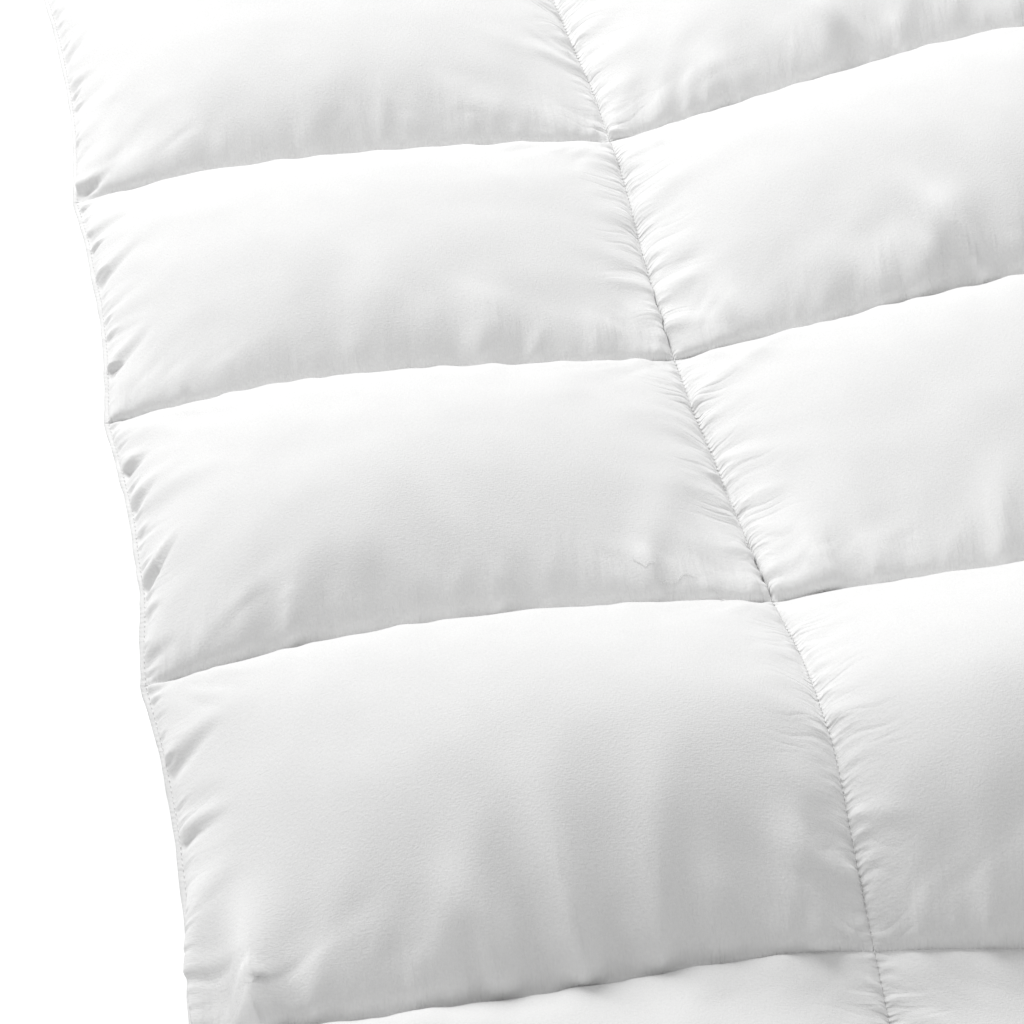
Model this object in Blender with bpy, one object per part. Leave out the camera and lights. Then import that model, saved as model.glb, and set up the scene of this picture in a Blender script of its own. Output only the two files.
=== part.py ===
# A box-stitched quilt laid out on a flat surface: one filled body with its crowned pockets,
# sewn channels, drawn-in sides and flat stitched hem.
# Metres, +Z up. +Y runs along the quilt. The origin is on the surface, under the quilt's middle.

import math
from collections import namedtuple

import bmesh
import bpy

# Driving dimensions
COLUMNS = 4
ROWS = 8
POCKET_WIDTH = 0.375
POCKET_LENGTH = 0.250
HEM_WIDTH = 0.003
SEAM_THICKNESS = 0.003
SEAM_LEVEL = 0.024        # height of the inner seams above the surface
HEM_LEVEL = 0.016         # height of the hem above the surface
HEM_DROP_REACH = 0.060    # how far in from the hem the seams come down to it
CROWN = 0.046             # rise of a pocket's top above its seams
BELLY = 0.036             # drop of a pocket's underside, before the surface flattens it
DRAW_IN = 0.007           # how far the filling pulls the outline in between two seams
DRAW_REACH = 0.060        # how far in from the hem it is still pulled
LIES_FLAT_BELOW = 0.009   # a swell lower than this is pressed flat by the quilt's own weight

WIDTH = COLUMNS * POCKET_WIDTH
LENGTH = ROWS * POCKET_LENGTH

# Cell lines across a pocket, as shares of it, closest together on the walls beside the seams
LINES_ACROSS = (0.0, 0.035, 0.11, 0.26, 0.5, 0.74, 0.89, 0.965)
LINES_ALONG = (0.0, 0.05, 0.17, 0.5, 0.83, 0.95)

# Wall of a pocket: power rounds its crown, and root makes it steep beside its seam
Wall = namedtuple("Wall", "power root")
SEAM_WALL = Wall(power=2.6, root=2.0)
HEM_WALL = Wall(power=2.2, root=1.35)

# Broad swells that lift the whole quilt off the surface: centre, reach and height
Swell = namedtuple("Swell", "x y reach_x reach_y height")
SWELLS = (
    Swell(x=-0.65, y=-0.20, reach_x=0.25, reach_y=0.12, height=0.030),
    Swell(x=-0.27, y=-0.39, reach_x=0.22, reach_y=0.08, height=0.075),
    Swell(x=-0.80, y=0.10, reach_x=0.20, reach_y=0.20, height=0.020),
    Swell(x=0.05, y=0.19, reach_x=0.20, reach_y=0.24, height=0.065),
    Swell(x=0.60, y=-0.40, reach_x=0.16, reach_y=0.13, height=0.030),
    Swell(x=-0.40, y=0.80, reach_x=0.20, reach_y=0.10, height=0.025),
)

# Places where the seams wander: centre, reach, and how far across and along the quilt
Drift = namedtuple("Drift", "x y reach across along")
DRIFTS = (
    Drift(x=-0.22, y=-0.50, reach=0.13, across=-0.010, along=-0.050),
    Drift(x=-0.57, y=-0.50, reach=0.10, across=0.0, along=-0.015),
    Drift(x=-0.37, y=-0.25, reach=0.09, across=0.005, along=0.0),
    Drift(x=-0.05, y=0.15, reach=0.20, across=0.0, along=0.020),
    Drift(x=-0.37, y=0.26, reach=0.11, across=0.008, along=0.0),
    Drift(x=-0.75, y=0.50, reach=0.12, across=0.0, along=0.030),
    Drift(x=0.40, y=-0.20, reach=0.18, across=0.0, along=0.010),
)

# Finish: white cotton cloth
CLOTH_COLOUR = (0.90, 0.90, 0.89, 1.0)
CLOTH_ROUGHNESS = 0.85


def bell(distance, reach):
    return math.exp(-0.5 * (distance / reach) ** 2)


def swell(x, y):
    """Lift of the quilt's underside off the surface, which is nothing where it lies flat."""
    lift = sum(s.height * bell(x - s.x, s.reach_x) * bell(y - s.y, s.reach_y) for s in SWELLS)
    return max(0.0, lift - LIES_FLAT_BELOW)


def drift(x, y):
    """How far the seams have wandered here, across and along the quilt."""
    nearness = [bell(x - d.x, d.reach) * bell(y - d.y, d.reach) for d in DRIFTS]
    across = sum(d.across * near for d, near in zip(DRIFTS, nearness))
    along = sum(d.along * near for d, near in zip(DRIFTS, nearness))
    return across, along


def pocket_share(place, size, pitch, count):
    """Where a place lies across its pocket, from 0 to 1, with the number of that pocket."""
    number = min(count - 1, max(0, math.floor((place + size / 2) / pitch + 1e-6)))
    start = -size / 2 + number * pitch
    end = start + pitch
    if number == 0:
        start += HEM_WIDTH
    if number == count - 1:
        end -= HEM_WIDTH
    return min(1.0, max(0.0, (place - start) / (end - start))), number


def wall_height(share, number, count):
    """Height of a pocket's wall, as a share of its crown, at this share of its width."""
    from_start = share < 0.5
    outermost = number == 0 if from_start else number == count - 1
    wall = HEM_WALL if outermost else SEAM_WALL
    towards_crown = 1.0 - abs(2.0 * share - 1.0)
    return (1.0 - (1.0 - towards_crown) ** wall.power) ** (1.0 / wall.root)


def fullness(x, y):
    """How full the quilt is here: 0 on a seam or the hem, 1 at a pocket's crown."""
    across, column = pocket_share(x, WIDTH, POCKET_WIDTH, COLUMNS)
    along, row = pocket_share(y, LENGTH, POCKET_LENGTH, ROWS)
    return wall_height(across, column, COLUMNS) * wall_height(along, row, ROWS)


def seam_level(x, y):
    from_edge = min(WIDTH / 2 - abs(x), LENGTH / 2 - abs(y))
    towards_hem = bell(max(0.0, from_edge), HEM_DROP_REACH)
    return SEAM_LEVEL + (HEM_LEVEL - SEAM_LEVEL) * towards_hem + swell(x, y)


def top_height(x, y):
    return seam_level(x, y) + SEAM_THICKNESS / 2 + CROWN * fullness(x, y)


def underside_height(x, y):
    hanging = seam_level(x, y) - SEAM_THICKNESS / 2 - BELLY * fullness(x, y)
    return max(swell(x, y), hanging)


def lie(x, y):
    """Plan place of a point of the flat cloth once the quilt is filled and laid out."""
    across, _ = pocket_share(x, WIDTH, POCKET_WIDTH, COLUMNS)
    along, _ = pocket_share(y, LENGTH, POCKET_LENGTH, ROWS)
    pull_x = DRAW_IN * math.sin(math.pi * along) * bell(WIDTH / 2 - abs(x), DRAW_REACH)
    pull_y = DRAW_IN * math.sin(math.pi * across) * bell(LENGTH / 2 - abs(y), DRAW_REACH)
    drift_x, drift_y = drift(x, y)
    return x - math.copysign(pull_x, x) + drift_x, y - math.copysign(pull_y, y) + drift_y


def cell_lines(shares, pitch, count):
    """Every cell line along one side of the quilt, from hem to hem."""
    size = pitch * count
    lines = [-size / 2]
    for number in range(count):
        start = -size / 2 + number * pitch + (HEM_WIDTH if number == 0 else 0.0)
        end = -size / 2 + (number + 1) * pitch - (HEM_WIDTH if number == count - 1 else 0.0)
        lines += [start + (end - start) * share for share in shares]
    return lines + [size / 2 - HEM_WIDTH, size / 2]


def add_side(bm, height, across_lines, along_lines):
    """A grid laid to one side's shape. It returns the loop of edges round its rim."""
    cells_across = len(across_lines) - 1
    cells_along = len(along_lines) - 1
    grid = bmesh.ops.create_grid(bm, x_segments=cells_across, y_segments=cells_along, size=0.5)
    for vert in grid["verts"]:
        x = across_lines[round((vert.co.x + 0.5) * cells_across)]
        y = along_lines[round((vert.co.y + 0.5) * cells_along)]
        vert.co.x, vert.co.y = lie(x, y)
        vert.co.z = height(x, y)
    return [edge for edge in {e for v in grid["verts"] for e in v.link_edges} if edge.is_boundary]


def make_cloth():
    material = bpy.data.materials.new("white_cotton")
    material.use_nodes = True
    shader = material.node_tree.nodes["Principled BSDF"]
    shader.inputs["Base Color"].default_value = CLOTH_COLOUR
    shader.inputs["Roughness"].default_value = CLOTH_ROUGHNESS
    shader.inputs["Metallic"].default_value = 0.0
    return material


def make_quilt(collection):
    across_lines = cell_lines(LINES_ACROSS, POCKET_WIDTH, COLUMNS)
    along_lines = cell_lines(LINES_ALONG, POCKET_LENGTH, ROWS)
    bm = bmesh.new()
    rims = add_side(bm, top_height, across_lines, along_lines)
    rims += add_side(bm, underside_height, across_lines, along_lines)
    bmesh.ops.bridge_loops(bm, edges=rims)
    bmesh.ops.recalc_face_normals(bm, faces=bm.faces)
    mesh = bpy.data.meshes.new("quilt")
    bm.to_mesh(mesh)
    bm.free()
    mesh.shade_smooth()
    mesh.materials.append(make_cloth())
    quilt = bpy.data.objects.new("quilt", mesh)
    collection.objects.link(quilt)
    return quilt


def main():
    for old in list(bpy.data.objects):
        bpy.data.objects.remove(old, do_unlink=True)
    collection = bpy.data.collections.new("box_stitched_quilt")
    bpy.context.scene.collection.children.link(collection)
    make_quilt(collection)


main()
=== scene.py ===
import math

import bpy
import numpy as np
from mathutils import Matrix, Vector


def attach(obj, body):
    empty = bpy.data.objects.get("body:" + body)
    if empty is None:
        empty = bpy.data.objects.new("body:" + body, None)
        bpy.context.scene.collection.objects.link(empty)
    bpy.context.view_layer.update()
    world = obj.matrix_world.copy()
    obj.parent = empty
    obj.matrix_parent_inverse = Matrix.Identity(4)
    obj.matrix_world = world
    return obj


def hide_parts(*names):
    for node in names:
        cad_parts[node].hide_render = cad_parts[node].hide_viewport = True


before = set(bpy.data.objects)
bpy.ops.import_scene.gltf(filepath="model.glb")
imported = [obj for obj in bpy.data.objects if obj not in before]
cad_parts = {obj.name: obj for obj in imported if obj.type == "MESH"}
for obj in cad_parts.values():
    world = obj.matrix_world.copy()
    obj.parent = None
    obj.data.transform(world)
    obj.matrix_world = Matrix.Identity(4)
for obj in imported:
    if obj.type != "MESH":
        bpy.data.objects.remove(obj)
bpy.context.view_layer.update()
print("frame loaded")

# sizes in metres; x runs across the quilt and y along it
quilt = {
    "columns": 4,
    "rows": 8,
    "pocketWidth": 0.375,
    "pocketLength": 0.250,
    "hemWidth": 0.003,
    "seamLevel": 0.024,      # height of the inner seams over the floor
    "hemLevel": 0.016,
    "hemDropReach": 0.060,
    "seamThickness": 0.0016,
    "seamFlat": 0.0020,      # how far from its stitches a seam stays flat
    "crown": 0.046,
    "belly": 0.036,
    "drawIn": 0.007,         # how far the filling pulls the outline in between two seams
    "drawReach": 0.060,
    "liesFlatBelow": 0.009,  # a swell lower than this is pressed flat by the quilt's own weight
    "liftEase": 0.005,       # how softly the underside comes off the floor beside a swell
    "restEase": 0.0015,      # how softly a pocket's underside meets the floor
    "cornerDip": 0.002,      # pinch where four pockets meet
    "cornerReach": 0.016,
    "wander": 0.0007,        # how far a sewn line strays
    "wanderCells": (60, 80),
    "frill": 0.0009,         # how far the free edge outside the hem's stitches waves
    "frillShares": (0.5, 0.5, 1.0),
    "frillCells": (190, 250),
    "underGathers": 0.5,     # height of the underside's gathers, as a share of the top's
    "seed": 11,
}
width = quilt["columns"] * quilt["pocketWidth"]
length = quilt["rows"] * quilt["pocketLength"]

# broad swells that lift the whole quilt: x, y, reach across, reach along, height
swells = (
    (-0.65, -0.20, 0.25, 0.12, 0.030),
    (-0.27, -0.39, 0.22, 0.08, 0.075),
    (-0.80, 0.10, 0.20, 0.20, 0.020),
    (0.05, 0.19, 0.20, 0.24, 0.065),
    (0.60, -0.40, 0.16, 0.13, 0.030),
    (-0.40, 0.80, 0.20, 0.10, 0.025),
)

# where the seams wander: x, y, reach, how far across, how far along
drifts = (
    (-0.22, -0.50, 0.13, -0.010, -0.050),
    (-0.57, -0.50, 0.10, 0.0, -0.015),
    (-0.37, -0.25, 0.09, 0.005, 0.0),
    (-0.05, 0.15, 0.20, 0.0, 0.020),
    (-0.37, 0.26, 0.11, 0.008, 0.0),
    (-0.75, 0.50, 0.12, 0.0, 0.030),
    (0.40, -0.20, 0.18, 0.0, 0.010),
)

# pockets with less filling than the rest: column, row, share of the usual height
slackPockets = {(0, 1): 0.65, (1, 1): 0.45}

# pockets whose broadest front folds are deeper: column, row, times the usual height
foldedPockets = {(0, 2): 3.8, (1, 2): 2.2, (1, 3): 2.6, (1, 4): 3.0, (1, 5): 2.0}


def bell(distance, reach):
    return np.exp(-0.5 * (distance / reach) ** 2)


def swellAt(x, y):
    lift = sum(h * bell(x - cx, rx) * bell(y - cy, ry) for cx, cy, rx, ry, h in swells)
    over, ease = lift - quilt["liesFlatBelow"], quilt["liftEase"]
    return np.where(over > ease, over, np.maximum(0, over + ease) ** 2 / (4 * ease))


def driftAt(x, y):
    nearness = [bell(x - cx, reach) * bell(y - cy, reach) for cx, cy, reach, _, _ in drifts]
    across = sum(row[3] * near for row, near in zip(drifts, nearness))
    along = sum(row[4] * near for row, near in zip(drifts, nearness))
    return across, along


# smooth random fields, and resampling of a grid of points

def splineWeights(samples, cells):
    place = np.linspace(0, cells, samples)
    first = np.minimum(place.astype(int), cells - 1)
    t = place - first
    weights = np.zeros((samples, cells + 3))
    parts = ((1 - t) ** 3 / 6, (3 * t ** 3 - 6 * t ** 2 + 4) / 6,
             (-3 * t ** 3 + 3 * t ** 2 + 3 * t + 1) / 6, t ** 3 / 6)
    for step, part in enumerate(parts):
        weights[np.arange(samples), first + step] = part
    return weights


def softNoise(shape, cells, rng):
    values = rng.normal(0, 1, (cells[0] + 3, cells[1] + 3))
    return splineWeights(shape[0], cells[0]) @ values @ splineWeights(shape[1], cells[1]).T


def cubicWeights(samples, knots):
    place = np.linspace(0, knots - 1, samples)
    first = np.minimum(place.astype(int), knots - 2)
    t = place - first
    parts = (-0.5 * t ** 3 + t ** 2 - 0.5 * t, 1.5 * t ** 3 - 2.5 * t ** 2 + 1,
             -1.5 * t ** 3 + 2 * t ** 2 + 0.5 * t, 0.5 * t ** 3 - 0.5 * t ** 2)
    weights = np.zeros((samples, knots))
    for step, part in enumerate(parts):
        np.add.at(weights, (np.arange(samples), np.clip(first + step - 1, 0, knots - 1)), part)
    return weights


def resample(grid, shape):
    across, along = cubicWeights(shape[0], grid.shape[0]), cubicWeights(shape[1], grid.shape[1])
    return np.einsum("ai,ijk,bj->abk", across, grid, along, optimize=True)


# gathers run in from a seam, each with its own place, lean and length; a layer is
# spacing, reach, height, width and how much of it is a tuck instead of a ridge
gathers = {
    "column": {
        "lean": 0.0,
        "startsIn": 0.0012,      # how far in from its seam a gather has risen
        "flare": 0.9,            # how much it widens inwards
        "layers": ((0.0062, 0.012, 0.0010, 0.0013, 0.0),
                   (0.012, 0.034, 0.0015, 0.0022, 0.3),
                   (0.036, 0.080, 0.0025, 0.0052, 0.3)),
    },
    "rowFront": {
        "lean": 0.0,
        "startsIn": 0.0022,
        "flare": 0.9,
        "layers": ((0.0085, 0.024, 0.0009, 0.0018, 0.0),
                   (0.017, 0.050, 0.0022, 0.0030, 0.2),
                   (0.030, 0.100, 0.0042, 0.0070, 0.2)),
    },
    "rowBack": {
        "lean": 0.0,
        "startsIn": 0.0022,
        "flare": 0.9,
        "layers": ((0.0085, 0.010, 0.00025, 0.0018, 0.0),
                   (0.017, 0.034, 0.00035, 0.0032, 0.0),
                   (0.034, 0.070, 0.0007, 0.0060, 0.0)),
    },
    "hem": {
        "lean": 0.35,
        "startsIn": 0.0005,
        "flare": -0.4,
        "layers": ((0.015, 0.009, 0.0018, 0.0017, 0.8),
                   (0.042, 0.028, 0.0021, 0.0042, 1.0),
                   (0.075, 0.070, 0.0024, 0.0110, 0.3)),
    },
}

# how much one gather differs from the next, and the outline of a ridge and of a tuck
gatherHabit = {
    "firstPlace": 0.5,
    "spacings": (0.55, 1.5),
    "reaches": (0.45, 1.5),
    "longest": 1.6,
    "heightMiddle": -0.2,
    "heightSpread": 0.6,
    "highest": 2.4,
    "leanSpread": 0.25,
    "bendSpread": 0.125,
    "widths": (0.75, 1.35),
    "ridgeFoot": (0.25, 2.2),                    # depth and width of the dip on both sides of a ridge
    "tuckLip": (0.7, 1.3, 1.2),                  # height, place and width
    "tuckFold": (0.4, 0.7),                      # place and width
    "cornerClear": 0.0010,                       # how far from a seam the first gather shows
}


def gatherField(along, inward, kind, layers, rng):
    habit = gatherHabit
    footDepth, footWidth = habit["ridgeFoot"]
    lipHeight, lipPlace, lipWidth = habit["tuckLip"]
    foldPlace, foldWidth = habit["tuckFold"]
    field = np.zeros((len(along), len(inward)))
    for spacing, reach, height, wide, tuck in layers:
        depth = np.searchsorted(inward, reach * habit["longest"])
        s, d = along[:, None], inward[None, :depth]
        place = along[0] + rng.uniform(-habit["firstPlace"], habit["firstPlace"]) * spacing
        while place < along[-1]:
            own = reach * rng.uniform(*habit["reaches"])
            share = rng.lognormal(habit["heightMiddle"], habit["heightSpread"])
            size = height * min(habit["highest"], share)
            tilt = kind["lean"] + rng.normal(0, habit["leanSpread"])
            bend = rng.normal(0, habit["bendSpread"]) / own
            middle = s - place - tilt * d - bend * d ** 2
            spread = wide * rng.uniform(*habit["widths"]) * (1 + kind["flare"] * np.minimum(1, d / own))
            fade = np.clip(1 - (d / own) ** 2, 0, 1) ** 2 * (1 - np.exp(-d / kind["startsIn"]))
            ridge = bell(middle, spread) - footDepth * bell(middle, spread * footWidth)
            lip = lipHeight * bell(middle - lipPlace * spread, spread * lipWidth)
            fold = bell(middle + foldPlace * spread, spread * foldWidth)
            field[:, :depth] += size * fade * ((1 - tuck) * ridge + tuck * (lip - fold))
            place += spacing * rng.uniform(*habit["spacings"])
    return field


# pocket shapes, blown up by the cloth simulation between their sewn sides
pocketSim = {
    "kinds": 5,
    "cellsAcross": 188,
    "cellsAlong": 126,
    "slackAcross": 0.085,
    "slackAlong": 0.125,
    "slackAtSeam": 0.35,      # share of that slack left beside a seam
    "slackTurn": (2.0, 1.5),  # how the slack grows towards a pocket's middle
    "frames": 13,
    "quality": 5,
    "pressure": 6.0,
    "mass": 0.1,
    "stretch": 15,
    "shear": 5,
    "bending": 0.004,
    "lumps": 0.0012,          # unevenness of the filling that it starts from
    "lumpCells": (9, 6),
    "lean": 0.0,
    "startsIn": 0.0022,
    "flare": 0.9,
    "rippleHeight": 0.0026,
    "farRipples": 0.5,        # height of the ripples at the far side, as a share of the others'
    "ripples": ((0.013, 0.032, 0.7, 0.0034, 0.0), (0.026, 0.065, 1.2, 0.0065, 0.0)),
}


def domeAt(share, power=2.6, root=2.0):
    return (1 - np.abs(2 * share - 1) ** power) ** (1 / root)


def startShape(rng):
    wide, long = quilt["pocketWidth"], quilt["pocketLength"]
    u = np.linspace(0, 1, pocketSim["cellsAcross"] + 1)
    v = np.linspace(0, 1, pocketSim["cellsAlong"] + 1)
    full = domeAt(u)[:, None] * domeAt(v)[None, :]
    x = np.repeat((u - 0.5)[:, None] * wide, len(v), 1)
    y = np.repeat((v - 0.5)[None, :] * long, len(u), 0)
    lumps = softNoise(full.shape, pocketSim["lumpCells"], rng)
    z = quilt["crown"] * full + pocketSim["lumps"] * lumps * full
    layers = [(spacing, reach, share * pocketSim["rippleHeight"], wide, tuck)
              for spacing, reach, share, wide, tuck in pocketSim["ripples"]]

    def ripplesFrom(along, inward):
        return gatherField(along, inward, pocketSim, layers, rng)

    ripple = ripplesFrom(u * wide, v * long)
    ripple += pocketSim["farRipples"] * ripplesFrom(u * wide, v * long)[:, ::-1]
    ripple += ripplesFrom(v * long, u * wide).T
    ripple += ripplesFrom(v * long, u * wide).T[::-1]
    z += ripple * np.sqrt(full)
    return np.stack([x, y, z], -1)


def cutShape(start):
    left = pocketSim["slackAtSeam"]
    u = np.linspace(0, 1, start.shape[0])[:, None]
    v = np.linspace(0, 1, start.shape[1])[None, :]
    slackAcross, slackAlong = [left + (1 - left) * domeAt(side, *pocketSim["slackTurn"]) for side in (v, u)]
    return np.stack([start[..., 0] * (1 + pocketSim["slackAcross"] * slackAcross),
                     start[..., 1] * (1 + pocketSim["slackAlong"] * slackAlong),
                     0 * start[..., 2]], -1)


def simulatePocket(seed):
    rng = np.random.default_rng(seed)
    start = startShape(rng)
    nx, ny = start.shape[:2]
    number = np.arange(nx * ny).reshape(nx, ny)
    quads = np.stack([number[:-1, :-1], number[1:, :-1], number[1:, 1:], number[:-1, 1:]], -1)
    mesh = bpy.data.meshes.new("pocketCloth")
    mesh.from_pydata(start.reshape(-1, 3).tolist(), [], quads.reshape(-1, 4).tolist())
    cloth = bpy.data.objects.new("pocketCloth", mesh)
    bpy.context.scene.collection.objects.link(cloth)
    cloth.shape_key_add(name="Basis")
    cut = cloth.shape_key_add(name="cut")          # the cloth as it is cut, larger than its frame of seams
    cut.data.foreach_set("co", cutShape(start).ravel())
    cut.value = 0
    sewn = cloth.vertex_groups.new(name="sewn")
    rim = np.concatenate([number[0], number[-1], number[:, 0], number[:, -1]])
    sewn.add(np.unique(rim).tolist(), 1.0, "REPLACE")
    modifier = cloth.modifiers.new("cloth", "CLOTH")
    settings = modifier.settings
    settings.vertex_group_mass = "sewn"
    settings.rest_shape_key = cut
    settings.quality = pocketSim["quality"]
    settings.mass = pocketSim["mass"]
    settings.tension_stiffness = pocketSim["stretch"]
    settings.compression_stiffness = pocketSim["stretch"]
    settings.shear_stiffness = pocketSim["shear"]
    settings.bending_stiffness = pocketSim["bending"]
    settings.use_pressure = True
    settings.uniform_pressure_force = pocketSim["pressure"]
    settings.effector_weights.gravity = 0
    modifier.collision_settings.use_collision = False
    modifier.point_cache.frame_start = 1
    modifier.point_cache.frame_end = pocketSim["frames"] + 1
    for step in range(1, pocketSim["frames"] + 1):
        bpy.context.scene.frame_set(step)
    blown = cloth.evaluated_get(bpy.context.evaluated_depsgraph_get())
    points = np.empty(nx * ny * 3)
    blown.data.vertices.foreach_get("co", points)
    points = points.reshape(nx, ny, 3)
    bpy.data.objects.remove(cloth)
    bpy.data.meshes.remove(mesh)
    bpy.context.scene.frame_set(1)
    print("pocket", seed, "blown up to", round(float(points[..., 2].max()), 4))
    return points - start * np.array([1, 1, 0])


makePocket = simulatePocket
pocketKinds = [makePocket(quilt["seed"] + kind) for kind in range(pocketSim["kinds"])]
print("pockets simulated")

# the lattice that carries both cloths: fine cells beside the seams, coarser ones inside a pocket
lattice = {
    "cellsAcross": 248,
    "cellsAlong": 168,
    "hemCells": 2,
    "upperZones": ((0, 1), (6, 2), (22, 4)),     # cells in from the seam, cell size from there
    "underZones": ((0, 2), (6, 4)),
}


def latticeLine(count, pitch, cells):
    size, hem, hemCells = count * pitch, quilt["hemWidth"], lattice["hemCells"]
    places = [np.linspace(-size / 2, -size / 2 + hem, hemCells + 1)[:-1]]
    shares = [np.zeros(hemCells)]
    for number in range(count):
        start = -size / 2 + number * pitch + (hem if number == 0 else 0)
        end = -size / 2 + (number + 1) * pitch - (hem if number == count - 1 else 0)
        places.append(np.linspace(start, end, cells + 1)[:-1])
        shares.append(np.linspace(0, 1, cells + 1)[:-1])
    places.append(np.linspace(size / 2 - hem, size / 2, hemCells + 1))
    shares.append(np.zeros(hemCells + 1))
    return np.concatenate(places), np.concatenate(shares)


acrossPlaces, acrossShares = latticeLine(quilt["columns"], quilt["pocketWidth"], lattice["cellsAcross"])
alongPlaces, alongShares = latticeLine(quilt["rows"], quilt["pocketLength"], lattice["cellsAlong"])
lastAcross, lastAlong = len(acrossPlaces) - 1, len(alongPlaces) - 1
latticeShape = (len(acrossPlaces), len(alongPlaces))
latticeSize = len(acrossPlaces) * len(alongPlaces)

# steepness beside the seam, then how late the wall turns over into the crown
walls = {"column": (1.38, 2.2), "rowFront": (2.0, 1.8), "rowBack": (2.0, 2.6), "hem": (1.35, 2.2)}

# how the filling sits in the pockets
filling = {
    "plainCorners": 0.70,       # share of a pocket's own creases smoothed away in its corners
    "plainAcross": 0.030,
    "plainAlong": 0.045,
    "spread": 0.04,             # how much one pocket, and one place in it, is fuller than another
    "spreadCells": (5, 4),
    "lumps": 0.0007,
    "lumpCells": (16, 11),
}


def pocketStart(column, row):
    return (lattice["hemCells"] + column * lattice["cellsAcross"],
            lattice["hemCells"] + row * lattice["cellsAlong"])


def wallEase(share, start, end):
    root = np.where(share < 0.5, start[0], end[0])
    power = np.where(share < 0.5, start[1], end[1])
    ease = domeAt(share, power, root) / np.maximum(domeAt(share), 1e-6)
    ease[0] = ease[-1] = 0
    return ease


def seamEase(inward):
    return 1 - np.exp(-(np.minimum(inward, inward[::-1]) / quilt["seamFlat"]) ** 2)


def pocketGathers(column, row, du, dv, rng):
    sides = (
        ("hem" if column == 0 else "column", False, False),
        ("hem" if column == quilt["columns"] - 1 else "column", False, True),
        ("hem" if row == 0 else "rowFront", True, False),
        ("hem" if row == quilt["rows"] - 1 else "rowBack", True, True),
    )
    total = np.zeros((len(du), len(dv)))
    for name, alongRow, farSide in sides:
        along, inward = (du, dv) if alongRow else (dv, du)
        kind = gathers[name]
        layers = list(kind["layers"])
        if name == "rowFront" and (column, row) in foldedPockets:
            spacing, reach, height, wide, tuck = layers[-1]
            layers[-1] = (spacing, reach, height * foldedPockets[column, row], wide, tuck)
        part = gatherField(along, inward, kind, layers, rng)
        part = part[:, ::-1] if farSide else part
        total += part if alongRow else part.T
    nearest = np.minimum(np.minimum(du, du[::-1])[:, None], np.minimum(dv, dv[::-1])[None, :])
    return total * (1 - np.exp(-nearest / gatherHabit["cornerClear"]))


def fillPockets(rng):
    puff = np.zeros(latticeShape + (3,))
    ridges = np.zeros(latticeShape)
    block = (lattice["cellsAcross"] + 1, lattice["cellsAlong"] + 1)
    kinds = [resample(kind, block) for kind in pocketKinds]
    u, v = np.linspace(0, 1, block[0]), np.linspace(0, 1, block[1])
    du, dv = u * quilt["pocketWidth"], v * quilt["pocketLength"]
    flatten = seamEase(du)[:, None] * seamEase(dv)[None, :]
    full = domeAt(u)[:, None] * domeAt(v)[None, :]
    plain = np.stack([0 * full, 0 * full, quilt["crown"] * full], -1)
    calmAcross = filling["plainCorners"] * bell(np.minimum(du, du[::-1]), filling["plainAcross"])
    calmAlong = bell(np.minimum(dv, dv[::-1]), filling["plainAlong"])
    calm = calmAcross[:, None] * calmAlong[None, :]
    lastColumn, lastRow = quilt["columns"] - 1, quilt["rows"] - 1
    for column in range(quilt["columns"]):
        for row in range(quilt["rows"]):
            own = kinds[rng.integers(len(kinds))].copy()
            if rng.random() < 0.5:
                own = own[::-1] * np.array([-1, 1, 1])
            own += (plain * own[..., 2].max() / quilt["crown"] - own) * calm[..., None]
            left, right = [walls["hem" if column == side else "column"] for side in (0, lastColumn)]
            front = walls["hem" if row == 0 else "rowFront"]
            back = walls["hem" if row == lastRow else "rowBack"]
            own[..., 2] *= wallEase(u, left, right)[:, None] * wallEase(v, front, back)[None, :]
            fuller = filling["spread"] * rng.normal()
            own[..., 2] *= 1 + fuller + filling["spread"] * softNoise(block, filling["spreadCells"], rng)
            own[..., 2] *= slackPockets.get((column, row), 1.0)
            own[..., 2] += filling["lumps"] * softNoise(block, filling["lumpCells"], rng) * full
            own *= flatten[..., None]
            i, j = pocketStart(column, row)
            puff[i:i + block[0], j:j + block[1]] = own
            ridges[i:i + block[0], j:j + block[1]] = pocketGathers(column, row, du, dv, rng)
    return puff, ridges


def seamLevelAt(x, y):
    fromEdge = np.minimum(width / 2 - np.abs(x), length / 2 - np.abs(y))
    drop = quilt["hemLevel"] - quilt["seamLevel"]
    level = quilt["seamLevel"] + drop * bell(np.maximum(0, fromEdge), quilt["hemDropReach"])
    acrossSeam = np.minimum(acrossShares, 1 - acrossShares) * quilt["pocketWidth"]
    alongSeam = np.minimum(alongShares, 1 - alongShares) * quilt["pocketLength"]
    pinchAcross, pinchAlong = [bell(seam, quilt["cornerReach"]) for seam in (acrossSeam, alongSeam)]
    return level - quilt["cornerDip"] * (pinchAcross[:, None] * pinchAlong[None, :])


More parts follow.
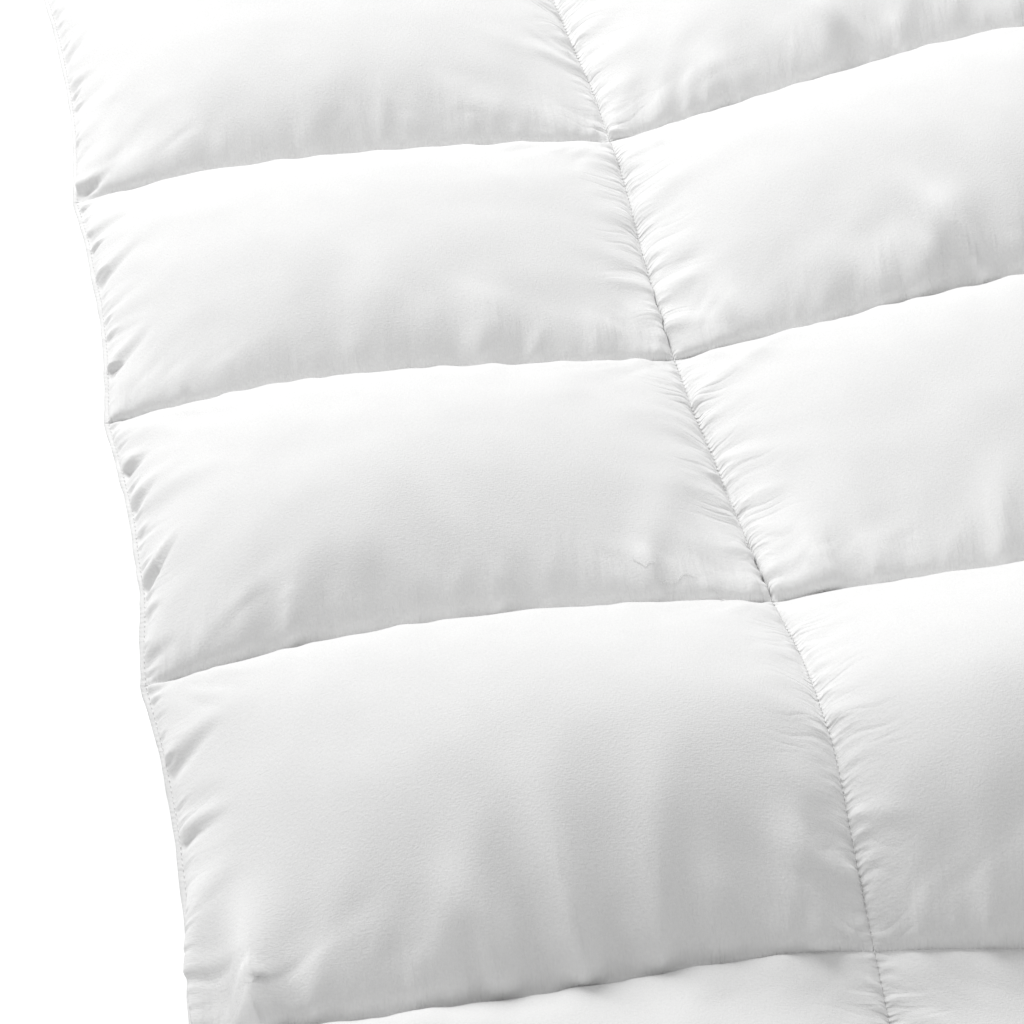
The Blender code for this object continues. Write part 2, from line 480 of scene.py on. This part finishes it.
def shapeSide(upper, seed):
    puff, ridges = fillPockets(np.random.default_rng(seed))
    x = acrossPlaces[:, None] + puff[..., 0]
    y = alongPlaces[None, :] + puff[..., 1]
    ground = swellAt(x, y)
    level = seamLevelAt(x, y) + ground
    half = quilt["seamThickness"] / 2
    if upper:
        z = level + half + puff[..., 2]
    else:
        hanging = level - half - puff[..., 2] * quilt["belly"] / quilt["crown"]
        ease = quilt["restEase"]
        z = ground + ease * np.logaddexp(0, (hanging - ground) / ease)
    shared = np.random.default_rng(quilt["seed"])      # both cloths stray together, as they are sewn as one
    strayX = quilt["wander"] * softNoise(latticeShape, quilt["wanderCells"], shared)
    strayY = quilt["wander"] * softNoise(latticeShape, quilt["wanderCells"], shared)
    betweenRows = quilt["drawIn"] * np.sin(math.pi * alongShares)[None, :]
    betweenColumns = quilt["drawIn"] * np.sin(math.pi * acrossShares)[:, None]
    pullX = betweenRows * bell(width / 2 - np.abs(x), quilt["drawReach"])
    pullY = betweenColumns * bell(length / 2 - np.abs(y), quilt["drawReach"])
    driftX, driftY = driftAt(x, y)
    points = np.stack([x - np.sign(x) * pullX + driftX + strayX,
                       y - np.sign(y) * pullY + driftY + strayY, z], -1)
    fromSide, fromEnd = width / 2 - np.abs(acrossPlaces), length / 2 - np.abs(alongPlaces)
    fromEdge = np.minimum(fromSide[:, None], fromEnd[None, :])
    free = np.clip(1 - fromEdge / quilt["hemWidth"], 0, 1)
    for axis, share in enumerate(quilt["frillShares"]):
        wave = softNoise(latticeShape, quilt["frillCells"], shared)
        points[..., axis] += quilt["frill"] * share * free * wave
    normal = np.cross(np.gradient(points, axis=0), np.gradient(points, axis=1))
    normal /= np.linalg.norm(normal, axis=-1, keepdims=True)
    if upper:
        points += normal * ridges[..., None]
    else:
        points -= normal * (ridges * quilt["underGathers"])[..., None]
        points[..., 2] = np.maximum(points[..., 2], ground)
    return points


upperPoints = shapeSide(True, quilt["seed"])
underPoints = shapeSide(False, quilt["seed"] + 100)
print("cloth shaped", upperPoints.shape)


def zoneCells(zones, order):
    cellsX, cellsY = lattice["cellsAcross"], lattice["cellsAlong"]
    insets = [inset for inset, _ in zones[1:]] + [None]
    faces = {count: [] for count in range(4, 9)}
    for (inset, size), inner in zip(zones, insets):
        half = size // 2
        for i in range(inset, cellsX - inset, size):
            for j in range(inset, cellsY - inset, size):
                if inner and inner <= i < cellsX - inner and inner <= j < cellsY - inner:
                    continue
                finer = inset > 0
                ring = [(i, j)]
                ring += [(i + half, j)] if finer and j == inset else []
                ring += [(i + size, j)]
                ring += [(i + size, j + half)] if finer and i + size == cellsX - inset else []
                ring += [(i + size, j + size)]
                ring += [(i + half, j + size)] if finer and j + size == cellsY - inset else []
                ring += [(i, j + size)]
                ring += [(i, j + half)] if finer and i == inset else []
                faces[len(ring)].append(ring[::order])
    return {count: np.array(rings) for count, rings in faces.items() if rings}


def stripCells(fromX, toX, fromY, toY, size, order):
    i, j = np.meshgrid(np.arange(fromX, toX, size), np.arange(fromY, toY, size), indexing="ij")
    i, j = i.ravel(), j.ravel()
    ring = [(i, j), (i + size, j), (i + size, j + size), (i, j + size)]
    return np.stack([np.stack(corner, -1) for corner in ring[::order]], 1)


upperCells = zoneCells(lattice["upperZones"], 1)
underCells = zoneCells(lattice["underZones"], -1)


def latticeKey(cells, under):
    return cells[..., 0] * latticeShape[1] + cells[..., 1] + latticeSize * under


def rimPath(fromX, toX, fromY, toY):
    x, y = np.arange(fromX, toX), np.arange(fromY, toY)
    return np.concatenate([np.stack([x, np.full(len(x), fromY)], -1),
                           np.stack([np.full(len(y), toX), y], -1),
                           np.stack([x[::-1] + 1, np.full(len(x), toY)], -1),
                           np.stack([np.full(len(y), fromX), y[::-1] + 1], -1)])


def pieceFaces(column, rows):
    faces = {}

    def add(cells, under):
        faces.setdefault(cells.shape[1], []).append(latticeKey(cells, under))

    for row in rows:
        start = np.array(pocketStart(column, row))
        for cells in upperCells.values():
            add(cells + start, False)
        for cells in underCells.values():
            add(cells + start, True)
    hem = lattice["hemCells"]
    fromX, fromY = pocketStart(column, rows[0])
    toX, toY = pocketStart(column + 1, rows[-1] + 1)
    outFromX = 0 if fromX == hem else fromX
    outFromY = 0 if fromY == hem else fromY
    outToX = lastAcross if toX == lastAcross - hem else toX
    outToY = lastAlong if toY == lastAlong - hem else toY
    strips = ((outFromX, fromX, outFromY, outToY), (toX, outToX, outFromY, outToY),
              (fromX, toX, outFromY, fromY), (fromX, toX, toY, outToY))
    for strip in strips:
        if strip[0] < strip[1] and strip[2] < strip[3]:
            add(stripCells(*strip, 1, 1), False)
            add(stripCells(*strip, 2, -1), True)
    rim = rimPath(outFromX, outToX, outFromY, outToY)
    upper, under = latticeKey(rim, False), latticeKey(rim, True)
    a, b, c = upper[0::2], upper[1::2], np.roll(upper, -2)[0::2]
    d, e = under[0::2], np.roll(under, -2)[0::2]
    faces[3] = [np.stack([b, a, d], -1), np.stack([c, b, e], -1), np.stack([b, d, e], -1)]
    return {count: np.concatenate(rings) for count, rings in faces.items()}


def makePiece(name, column, rows, material):
    groups = pieceFaces(column, rows)
    loops = np.concatenate([ring.ravel() for ring in groups.values()])
    totals = np.concatenate([np.full(len(ring), count) for count, ring in groups.items()])
    keys, loops = np.unique(loops, return_inverse=True)
    isUnder = keys >= latticeSize
    i, j = np.divmod(keys - latticeSize * isUnder, latticeShape[1])
    points = np.where(isUnder[:, None], underPoints[i, j], upperPoints[i, j])
    mesh = bpy.data.meshes.new(name)
    mesh.vertices.add(len(points))
    mesh.vertices.foreach_set("co", points.ravel())
    mesh.loops.add(len(loops))
    mesh.loops.foreach_set("vertex_index", loops.astype(np.int32))
    mesh.polygons.add(len(totals))
    mesh.polygons.foreach_set("loop_start", (np.cumsum(totals) - totals).astype(np.int32))
    mesh.polygons.foreach_set("loop_total", totals.astype(np.int32))
    mesh.polygons.foreach_set("use_smooth", np.ones(len(totals), bool))
    clothPlace = mesh.uv_layers.new(name="clothPlace")          # metres of flat cloth from the middle
    flat = np.stack([acrossPlaces[i], alongPlaces[j]], -1)
    clothPlace.data.foreach_set("uv", flat[loops].ravel())
    mesh.update()
    mesh.validate()
    mesh.materials.append(material)
    piece = bpy.data.objects.new(name, mesh)
    bpy.context.scene.collection.objects.link(piece)
    print(name, int((totals - 2).sum()), "triangles")
    return piece


sewingPitch = 0.0040       # from one stitch to the next

# cloth finish, lengths in metres
cottonFinish = {
    "colour": (0.875, 0.875, 0.872, 1.0),
    "shadeColour": (0.83, 0.83, 0.828, 1.0),
    "roughness": 0.91,
    "roughnessByTone": -0.1,
    "specular": 0.3,
    "sheen": 0.15,
    "sheenRoughness": 0.5,
}
cottonWeave = {"Threads": 2600.0, "Weave Height": 0.000006, "Slub Height": 0.00022}

# what every plain weave has: noise scales per metre, and how much its slubs show in its tone
weaveDetail = {"slubScales": (450.0, 1000.0), "cloudScale": 45.0, "slubTone": 1.6}

# puckers too small for the mesh, in metres; From Edge and Along come from the cloth's own place
columnPuckers = {
    "Pocket Size": quilt["pocketWidth"],
    "Outline": width / 2,
    "Ridges": 210.0,
    "Ridge Reach": 0.011,
    "Ridge Height": 0.0015,
    "Creases": 1.0,
    "Crease Reach": 0.026,
    "Crease Height": 0.0006,
    "Stitch Pitch": sewingPitch,
    "Bead Reach": 0.0030,
    "Bead Height": 0.00022,
    "Hem Share": 0.25,
    "Far Side": 1.0,
}
rowPuckers = {
    "Pocket Size": quilt["pocketLength"],
    "Outline": length / 2,
    "Ridges": 250.0,
    "Ridge Reach": 0.040,
    "Ridge Height": 0.0008,
    "Creases": 0.0,
    "Crease Reach": 0.030,
    "Crease Height": 0.0,
    "Stitch Pitch": sewingPitch,
    "Bead Reach": 0.0030,
    "Bead Height": 0.00015,
    "Hem Share": 0.25,
    "Far Side": 0.3,
}

# what all puckers have: noise scales are per metre, along the seam and in from it
puckerDetail = {
    "ridgeStretch": (1.0, 0.16),
    "beadStray": 6.0,
    "patchScales": (38.0, 30.0),
    "patchContrast": 4.0,
    "creaseSway": 0.03,
    "creaseSwayScales": (28.0, 28.0),
    "creaseScales": (100.0, 12.0),
    "creaseSharpness": 8.0,
    "creasePatchScales": (45.0, 20.0),
    "creasePatchContrast": 5.0,
    "creasePatchShare": 0.35,
}


def newGroup(name, inputs, outputs):
    group = bpy.data.node_groups.new(name, "ShaderNodeTree")
    for label, kind, value in inputs:
        socket = group.interface.new_socket(label, in_out="INPUT", socket_type=kind)
        if value is not None:
            socket.default_value = value
    for label, kind in outputs:
        group.interface.new_socket(label, in_out="OUTPUT", socket_type=kind)
    return group, group.nodes.new("NodeGroupInput"), group.nodes.new("NodeGroupOutput")


def mathNode(tree, operation, *values):
    node = tree.nodes.new("ShaderNodeMath")
    node.operation = operation
    for socket, value in zip(node.inputs, values):
        if isinstance(value, (int, float)):
            socket.default_value = value
        else:
            tree.links.new(value, socket)
    return node.outputs[0]


def product(tree, first, *others):
    for other in others:
        first = mathNode(tree, "MULTIPLY", first, other)
    return first


def lessShare(tree, mask, share):      # 1 where the mask is 0, and the share where it is 1
    return mathNode(tree, "SUBTRACT", 1.0, product(tree, mask, mathNode(tree, "SUBTRACT", 1.0, share)))


def stretchedNoise(tree, place, scales, detail=0.0):
    stretch = tree.nodes.new("ShaderNodeCombineXYZ")
    for side, scale, socket in zip(place, scales, stretch.inputs):
        tree.links.new(product(tree, side, scale), socket)
    noise = tree.nodes.new("ShaderNodeTexNoise")
    noise.inputs["Scale"].default_value = 1.0
    noise.inputs["Detail"].default_value = detail
    tree.links.new(stretch.outputs[0], noise.inputs["Vector"])
    return mathNode(tree, "SUBTRACT", noise.outputs["Fac"], 0.5)


def makeWeaveGroup():
    group, given, result = newGroup(
        "plainWeave",
        (("Place", "NodeSocketVector", None), ("Threads", "NodeSocketFloat", 2600.0),
         ("Weave Height", "NodeSocketFloat", 0.00003), ("Slub Height", "NodeSocketFloat", 0.00006)),
        (("Height", "NodeSocketFloat"), ("Tone", "NodeSocketFloat")))
    told = given.outputs
    split = group.nodes.new("ShaderNodeSeparateXYZ")
    group.links.new(told["Place"], split.inputs[0])
    place = split.outputs[0], split.outputs[1]
    turns = product(group, told["Threads"], math.pi)
    waves = [mathNode(group, "SINE", product(group, side, turns)) for side in place]
    weave = product(group, *waves, told["Weave Height"])
    slubs = [stretchedNoise(group, place, scales, 2.0)
             for scales in (weaveDetail["slubScales"], weaveDetail["slubScales"][::-1])]
    slub = mathNode(group, "ADD", *slubs)
    height = mathNode(group, "ADD", weave, product(group, slub, told["Slub Height"]))
    group.links.new(height, result.inputs["Height"])
    cloud = stretchedNoise(group, place, (weaveDetail["cloudScale"], weaveDetail["cloudScale"]), 3.0)
    tone = mathNode(group, "MULTIPLY_ADD", slub, weaveDetail["slubTone"], cloud)
    group.links.new(mathNode(group, "ADD", tone, 0.5), result.inputs["Tone"])
    return group


def creaseLines(tree, along, inward):
    sway = stretchedNoise(tree, (along, inward), puckerDetail["creaseSwayScales"])
    shifted = mathNode(tree, "MULTIPLY_ADD", sway, puckerDetail["creaseSway"], along)
    wave = stretchedNoise(tree, (shifted, inward), puckerDetail["creaseScales"])
    slopes = product(tree, mathNode(tree, "ABSOLUTE", wave), puckerDetail["creaseSharpness"])
    line = mathNode(tree, "MAXIMUM", mathNode(tree, "SUBTRACT", 1.0, slopes), 0.0)
    patches = stretchedNoise(tree, (along, inward), puckerDetail["creasePatchScales"])
    shown = tree.nodes.new("ShaderNodeClamp")
    tree.links.new(mathNode(tree, "MULTIPLY_ADD", patches, puckerDetail["creasePatchContrast"],
                            puckerDetail["creasePatchShare"]), shown.inputs["Value"])
    return product(tree, line, shown.outputs["Result"])


def fadedBy(tree, value, distance, reach, height):
    share = mathNode(tree, "DIVIDE", distance, reach)
    fade = mathNode(tree, "EXPONENT", product(tree, share, share, -1.0))
    return product(tree, value, fade, height)


def makePuckerGroup():
    labels = ("From Edge", "Along") + tuple(columnPuckers)
    group, given, result = newGroup(
        "seamPuckers",
        tuple((label, "NodeSocketFloat", 0.0) for label in labels),
        (("Height", "NodeSocketFloat"),))
    told = given.outputs
    along = told["Along"]
    place = mathNode(group, "ADD", told["From Edge"], told["Outline"])
    half = product(group, told["Pocket Size"], 0.5)
    fromSeam = mathNode(group, "PINGPONG", place, half)
    scaled = [product(group, side, told["Ridges"]) for side in (along, fromSeam)]
    ridges = stretchedNoise(group, scaled, puckerDetail["ridgeStretch"], 1.0)
    turns = product(group, mathNode(group, "DIVIDE", along, told["Stitch Pitch"]), 2 * math.pi)
    strayed = mathNode(group, "MULTIPLY_ADD", ridges, puckerDetail["beadStray"], turns)
    beads = mathNode(group, "COSINE", strayed)
    onHem = mathNode(group, "GREATER_THAN", mathNode(group, "ABSOLUTE", told["From Edge"]),
                     mathNode(group, "SUBTRACT", told["Outline"], half))
    hemShare = lessShare(group, onHem, told["Hem Share"])
    creases = product(group, creaseLines(group, along, fromSeam), hemShare)
    patches = stretchedNoise(group, (along, fromSeam), puckerDetail["patchScales"])
    contrast = mathNode(group, "MULTIPLY_ADD", patches, puckerDetail["patchContrast"], 1.0)
    unevenness = product(group, contrast, hemShare)
    ridges, beads = [product(group, shape, unevenness) for shape in (ridges, beads)]
    height = mathNode(group, "ADD",
                      fadedBy(group, ridges, fromSeam, told["Ridge Reach"], told["Ridge Height"]),
                      fadedBy(group, beads, fromSeam, told["Bead Reach"], told["Bead Height"]))
    cut = fadedBy(group, creases, fromSeam, told["Crease Reach"], told["Crease Height"])
    height = mathNode(group, "SUBTRACT", height, product(group, cut, told["Creases"]))
    across = mathNode(group, "WRAP", place, told["Pocket Size"], 0.0)
    onFarSide = mathNode(group, "GREATER_THAN", across, half)
    share = lessShare(group, onFarSide, told["Far Side"])
    group.links.new(product(group, height, share), result.inputs["Height"])
    return group


def placeGroup(material, group, values):
    node = material.node_tree.nodes.new("ShaderNodeGroup")
    node.node_tree = group
    for label, value in values.items():
        node.inputs[label].default_value = value
    return node


def makeCotton(weave, puckers):
    material = bpy.data.materials.new("whiteCotton")
    material.use_nodes = True
    tree = material.node_tree
    nodes, links = tree.nodes, tree.links
    shader = nodes["Principled BSDF"]
    shader.inputs["Sheen Weight"].default_value = cottonFinish["sheen"]
    shader.inputs["Sheen Roughness"].default_value = cottonFinish["sheenRoughness"]
    shader.inputs["Specular IOR Level"].default_value = cottonFinish["specular"]
    flat = nodes.new("ShaderNodeUVMap")
    flat.uv_map = "clothPlace"
    threads = placeGroup(material, weave, cottonWeave)
    links.new(flat.outputs["UV"], threads.inputs["Place"])
    split = nodes.new("ShaderNodeSeparateXYZ")
    links.new(flat.outputs["UV"], split.inputs[0])
    gathered = []
    for values, inward, along in ((columnPuckers, "X", "Y"), (rowPuckers, "Y", "X")):
        seams = placeGroup(material, puckers, values)
        links.new(split.outputs[inward], seams.inputs["From Edge"])
        links.new(split.outputs[along], seams.inputs["Along"])
        gathered.append(seams.outputs["Height"])
    colour = nodes.new("ShaderNodeMix")
    colour.data_type = "RGBA"
    colour.inputs["A"].default_value = cottonFinish["shadeColour"]
    colour.inputs["B"].default_value = cottonFinish["colour"]
    links.new(threads.outputs["Tone"], colour.inputs["Factor"])
    links.new(colour.outputs["Result"], shader.inputs["Base Color"])
    roughness = mathNode(tree, "MULTIPLY_ADD", threads.outputs["Tone"], cottonFinish["roughnessByTone"],
                         cottonFinish["roughness"])
    links.new(roughness, shader.inputs["Roughness"])
    bump = nodes.new("ShaderNodeBump")
    bump.inputs["Strength"].default_value = 1.0
    bump.inputs["Distance"].default_value = 1.0
    height = mathNode(tree, "ADD", threads.outputs["Height"], mathNode(tree, "ADD", *gathered))
    links.new(height, bump.inputs["Height"])
    links.new(bump.outputs["Normal"], shader.inputs["Normal"])
    return material


cotton = makeCotton(makeWeaveGroup(), makePuckerGroup())
clothPieces = []
for column in range(quilt["columns"]):
    for half, name in enumerate(("near", "far")):
        rows = range(half * quilt["rows"] // 2, (half + 1) * quilt["rows"] // 2)
        clothPieces.append(makePiece(f"quilt_column_{column + 1}_{name}", column, rows, cotton))
for piece in clothPieces:
    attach(piece, "root")
    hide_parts("quilt")
print("cloth pieces made")

# sewing: one thread stitch after another along every seam, on both sides of the quilt
stitching = {
    "Pitch": sewingPitch,
    "Stitch Length": 0.0034,
    "Thread Width": 0.0007,
    "Unevenness": 0.18,
    "Seed": 5,
}
threadFinish = {
    "lift": 0.00015,
    "colour": (0.93, 0.93, 0.925, 1.0),
    "sheen": 0.2,
    "fibreScale": 900.0,
    "fibreHeight": 0.0001,
    "roughness": 0.5,
    "roughnessSpread": 0.3,
}


def makeThread():
    material = bpy.data.materials.new("cottonThread")
    material.use_nodes = True
    nodes, links = material.node_tree.nodes, material.node_tree.links
    shader = nodes["Principled BSDF"]
    shader.inputs["Sheen Weight"].default_value = threadFinish["sheen"]
    place = nodes.new("ShaderNodeTexCoord")
    noise = nodes.new("ShaderNodeTexNoise")
    noise.inputs["Scale"].default_value = threadFinish["fibreScale"]
    links.new(place.outputs["Object"], noise.inputs["Vector"])
    colour = nodes.new("ShaderNodeMix")
    colour.data_type = "RGBA"
    colour.inputs["A"].default_value = cottonFinish["shadeColour"]
    colour.inputs["B"].default_value = threadFinish["colour"]
    links.new(noise.outputs["Fac"], colour.inputs["Factor"])
    links.new(colour.outputs["Result"], shader.inputs["Base Color"])
    roughness = mathNode(material.node_tree, "MULTIPLY_ADD", noise.outputs["Fac"],
                         threadFinish["roughnessSpread"], threadFinish["roughness"])
    links.new(roughness, shader.inputs["Roughness"])
    bump = nodes.new("ShaderNodeBump")
    bump.inputs["Distance"].default_value = threadFinish["fibreHeight"]
    links.new(noise.outputs["Fac"], bump.inputs["Height"])
    links.new(bump.outputs["Normal"], shader.inputs["Normal"])
    return material


def makeStitchTree(material):
    tree = bpy.data.node_groups.new("stitchesAlongSeams", "GeometryNodeTree")
    tree.interface.new_socket("Seams", in_out="INPUT", socket_type="NodeSocketGeometry")
    sockets = {}
    for label, value in stitching.items():
        kind = "NodeSocketInt" if isinstance(value, int) else "NodeSocketFloat"
        sockets[label] = tree.interface.new_socket(label, in_out="INPUT", socket_type=kind)
    tree.interface.new_socket("Stitches", in_out="OUTPUT", socket_type="NodeSocketGeometry")
    nodes, links = tree.nodes, tree.links
    given, result = nodes.new("NodeGroupInput"), nodes.new("NodeGroupOutput")
    curve = nodes.new("GeometryNodeMeshToCurve")
    links.new(given.outputs["Seams"], curve.inputs["Mesh"])
    spaced = nodes.new("GeometryNodeResampleCurve")
    spaced.mode = "LENGTH"
    links.new(curve.outputs["Curve"], spaced.inputs["Curve"])
    links.new(given.outputs["Pitch"], spaced.inputs["Length"])
    stitch = nodes.new("GeometryNodeMeshUVSphere")
    stitch.inputs["Segments"].default_value = 4
    stitch.inputs["Rings"].default_value = 2
    stitch.inputs["Radius"].default_value = 0.5
    size = nodes.new("ShaderNodeCombineXYZ")
    links.new(given.outputs["Thread Width"], size.inputs[0])
    links.new(given.outputs["Thread Width"], size.inputs[1])
    links.new(given.outputs["Stitch Length"], size.inputs[2])
    vary = nodes.new("FunctionNodeRandomValue")
    vary.data_type = "FLOAT"
    links.new(given.outputs["Seed"], vary.inputs["Seed"])
    links.new(mathNode(tree, "SUBTRACT", 1.0, given.outputs["Unevenness"]), vary.inputs[2])
    links.new(mathNode(tree, "ADD", 1.0, given.outputs["Unevenness"]), vary.inputs[3])
    grown = nodes.new("ShaderNodeVectorMath")
    grown.operation = "SCALE"
    links.new(size.outputs[0], grown.inputs[0])
    links.new(vary.outputs[1], grown.inputs["Scale"])
    turn = nodes.new("FunctionNodeAlignRotationToVector")
    turn.axis = "Z"
    tangent = nodes.new("GeometryNodeInputTangent")
    links.new(tangent.outputs[0], turn.inputs["Vector"])
    sewn = nodes.new("GeometryNodeInstanceOnPoints")
    links.new(spaced.outputs["Curve"], sewn.inputs["Points"])
    links.new(stitch.outputs["Mesh"], sewn.inputs["Instance"])
    links.new(turn.outputs[0], sewn.inputs["Rotation"])
    links.new(grown.outputs[0], sewn.inputs["Scale"])
    real = nodes.new("GeometryNodeRealizeInstances")
    links.new(sewn.outputs["Instances"], real.inputs[0])
    finish = nodes.new("GeometryNodeSetMaterial")
    finish.inputs["Material"].default_value = material
    links.new(real.outputs[0], finish.inputs["Geometry"])
    links.new(finish.outputs[0], result.inputs[0])
    return tree, sockets


def seamLines(kind, points, lift):
    hem, raised = lattice["hemCells"], points + np.array([0, 0, lift])
    if kind == "hem":
        i0, i1, j0, j1 = hem, lastAcross - hem, hem, lastAlong - hem
        return [np.concatenate([raised[i0:i1, j0], raised[i1, j0:j1], raised[i1:i0:-1, j1],
                                raised[i0, j1:j0:-1], raised[i0:i0 + 1, j0]])]
    columns = [pocketStart(column, 0)[0] for column in range(1, quilt["columns"])]
    rows = [pocketStart(0, row)[1] for row in range(1, quilt["rows"])]
    return [raised[i, hem:lastAlong - hem + 1] for i in columns] + [
        raised[hem:lastAcross - hem + 1, j] for j in rows]


def makeStitching(name, lines, tree, sockets):
    starts = np.cumsum([0] + [len(line) for line in lines])
    edges = [(start + step, start + step + 1)
             for start, line in zip(starts, lines) for step in range(len(line) - 1)]
    path = bpy.data.meshes.new(name + "_path")
    path.from_pydata(np.concatenate(lines).tolist(), edges, [])
    sewer = bpy.data.objects.new(name + "_path", path)
    bpy.context.scene.collection.objects.link(sewer)
    modifier = sewer.modifiers.new("stitches", "NODES")
    modifier.node_group = tree
    for label, value in stitching.items():
        modifier[sockets[label].identifier] = value
    evaluated = sewer.evaluated_get(bpy.context.evaluated_depsgraph_get())
    mesh = bpy.data.meshes.new_from_object(evaluated)
    mesh.name = name
    mesh.shade_smooth()
    sewer.modifiers.remove(modifier)
    bpy.data.objects.remove(sewer)
    bpy.data.meshes.remove(path)
    piece = bpy.data.objects.new(name, mesh)
    bpy.context.scene.collection.objects.link(piece)
    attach(piece, "root")
    print(name, len(mesh.polygons) // 8, "stitches")


thread = makeThread()
stitchTree, stitchSockets = makeStitchTree(thread)
for side, points, lift in (("upper", upperPoints, threadFinish["lift"]),
                           ("under", underPoints, -threadFinish["lift"])):
    for kind in ("box", "hem"):
        makeStitching(f"{kind}_stitches_{side}", seamLines(kind, points, lift), stitchTree, stitchSockets)
print("seams sewn")

# loose thread ends that lie in curls by one crossing: x, y, heading in degrees, length
threadEnds = ((-0.440, -0.243, 20, 0.030), (-0.408, -0.247, -15, 0.026), (-0.452, -0.228, -50, 0.020))
threadCurl = {
    "steps": 24,
    "points": 40,
    "strayTurn": 0.22,       # radians a step
    "curlTurn": 0.16,
    "curlPace": 0.7,
    "lift": 0.0006,
    "thickness": 0.3,        # radius, as a share of a stitch's width
}


def surfacePoint(x, y):
    near = np.hypot(upperPoints[..., 0] - x, upperPoints[..., 1] - y)
    return upperPoints[np.unravel_index(np.argmin(near), near.shape)]


def makeThreadEnds(name, material):
    rng = np.random.default_rng(stitching["Seed"])
    data = bpy.data.curves.new(name, "CURVE")
    data.dimensions = "3D"
    data.bevel_depth = stitching["Thread Width"] * threadCurl["thickness"]
    data.bevel_resolution = 0
    steps = threadCurl["steps"]
    for x, y, heading, size in threadEnds:
        angle = math.radians(heading)
        path = []
        for step in range(steps):
            path.append(surfacePoint(x, y) + np.array([0, 0, threadCurl["lift"]]))
            curl = threadCurl["curlTurn"] * math.sin(step * threadCurl["curlPace"] + heading)
            angle += rng.normal(0, threadCurl["strayTurn"]) + curl
            x += math.cos(angle) * size / steps
            y += math.sin(angle) * size / steps
        knots = np.array(path)[::3, None, :].repeat(2, 1)
        smooth = resample(knots, (threadCurl["points"], 2))[:, 0]
        spline = data.splines.new("POLY")
        spline.points.add(len(smooth) - 1)
        spline.points.foreach_set("co", np.column_stack([smooth, np.ones(len(smooth))]).ravel())
    source = bpy.data.objects.new(name + "_path", data)
    bpy.context.scene.collection.objects.link(source)
    mesh = bpy.data.meshes.new_from_object(source.evaluated_get(bpy.context.evaluated_depsgraph_get()))
    mesh.name = name
    mesh.shade_smooth()
    mesh.materials.clear()
    mesh.materials.append(material)
    bpy.data.objects.remove(source)
    bpy.data.curves.remove(data)
    piece = bpy.data.objects.new(name, mesh)
    bpy.context.scene.collection.objects.link(piece)
    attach(piece, "root")
    print(name, len(mesh.polygons), "faces")


makeThreadEnds("thread_ends", thread)

# stage, light and camera
stage = {
    "floorSize": 60.0,
    "floorColour": (0.92, 0.92, 0.92, 1.0),
    "floorRoughness": 0.9,
    "floorGlow": 0.25,
    "worldStrength": 0.51,
    "keyPlace": (-1.66, 3.63, 3.25),
    "keyTarget": (-0.4, -0.05, 0.0),
    "keySize": 2.6,
    "keyPower": 193.0,
    "fillPlace": (-0.1, 0.85, 1.1),
    "fillTarget": (-0.2, 0.5, 0.0),
    "fillSize": 1.2,
    "fillPower": 1.7,
    "cameraPlace": (-0.788, -1.690, 1.450),
    "cameraTurn": 10.21,
    "cameraTilt": 41.85,
    "cameraLens": 120.0,
    "cameraSensor": 36.0,
}


def makeFloor():
    mesh = bpy.data.meshes.new("floor")
    r = stage["floorSize"] / 2
    mesh.from_pydata([(-r, -r, 0), (r, -r, 0), (r, r, 0), (-r, r, 0)], [], [(0, 1, 2, 3)])
    material = bpy.data.materials.new("paleFloor")
    material.use_nodes = True
    shader = material.node_tree.nodes["Principled BSDF"]
    shader.inputs["Base Color"].default_value = stage["floorColour"]
    shader.inputs["Roughness"].default_value = stage["floorRoughness"]
    shader.inputs["Emission Color"].default_value = (1, 1, 1, 1)
    shader.inputs["Emission Strength"].default_value = stage["floorGlow"]
    mesh.materials.append(material)
    floor = bpy.data.objects.new("floor", mesh)
    bpy.context.scene.collection.objects.link(floor)


def aim(thing, place, target):
    thing.location = place
    thing.rotation_euler = (Vector(target) - Vector(place)).to_track_quat("-Z", "Y").to_euler()


def makeLights():
    world = bpy.data.worlds.new("softWorld")
    world.use_nodes = True
    sky = world.node_tree.nodes["Background"]
    sky.inputs["Color"].default_value = (1, 1, 1, 1)
    sky.inputs["Strength"].default_value = stage["worldStrength"]
    bpy.context.scene.world = world
    for name in ("key", "fill"):
        light = bpy.data.lights.new(name, "AREA")
        light.size = stage[name + "Size"]
        light.energy = stage[name + "Power"]
        lamp = bpy.data.objects.new(name, light)
        bpy.context.scene.collection.objects.link(lamp)
        aim(lamp, stage[name + "Place"], stage[name + "Target"])


def makeCamera():
    data = bpy.data.cameras.new("camera")
    data.sensor_width = stage["cameraSensor"]
    data.lens = stage["cameraLens"]
    camera = bpy.data.objects.new("camera", data)
    bpy.context.scene.collection.objects.link(camera)
    turn, tilt = math.radians(stage["cameraTurn"]), math.radians(stage["cameraTilt"])
    ahead = Vector((math.sin(turn) * math.cos(tilt), math.cos(turn) * math.cos(tilt), -math.sin(tilt)))
    aim(camera, stage["cameraPlace"], Vector(stage["cameraPlace"]) + ahead)
    bpy.context.scene.camera = camera


makeFloor()
makeLights()
makeCamera()
bpy.context.scene.view_settings.view_transform = "Standard"
print("stage set")
